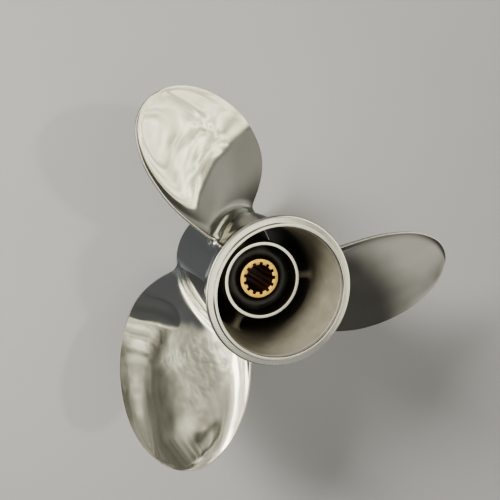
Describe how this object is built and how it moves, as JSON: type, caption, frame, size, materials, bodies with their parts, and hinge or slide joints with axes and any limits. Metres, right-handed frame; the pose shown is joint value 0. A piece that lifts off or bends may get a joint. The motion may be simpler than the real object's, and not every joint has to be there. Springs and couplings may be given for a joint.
{
  "type": "outboard boat propeller",
  "caption": "Right-hand boat propeller with wide swept blades on a through-hub exhaust barrel, flared at the rear, with an inner hub tube, rubber bush and splined brass sleeve.",
  "frame": {"origin": "on the shaft axis, in the plane of the barrel's front face, on which the propeller stands", "axes": "+Z along the shaft axis, pointing aft to the flared mouth; +Y through the tip of blade_3"},
  "size_m": [0.2517, 0.2333, 0.1265],
  "materials": {
    "polished_stainless": "mirror-polished stainless casting with fine hand-polishing waves",
    "cast_stainless": "blasted, unpolished casting surface inside the hub",
    "black_rubber": "moulded black rubber, satin",
    "brass": "turned and broached brass"
  },
  "bodies": {
    "root": {"hub_barrel": "polished_stainless", "blade_1": "polished_stainless", "blade_2": "polished_stainless", "blade_3": "polished_stainless", "inner_hub_tube": "cast_stainless", "rib_1": "cast_stainless", "rib_2": "cast_stainless", "rib_3": "cast_stainless", "rubber_bush": "black_rubber", "splined_sleeve": "brass"}
  },
  "joints": []
}
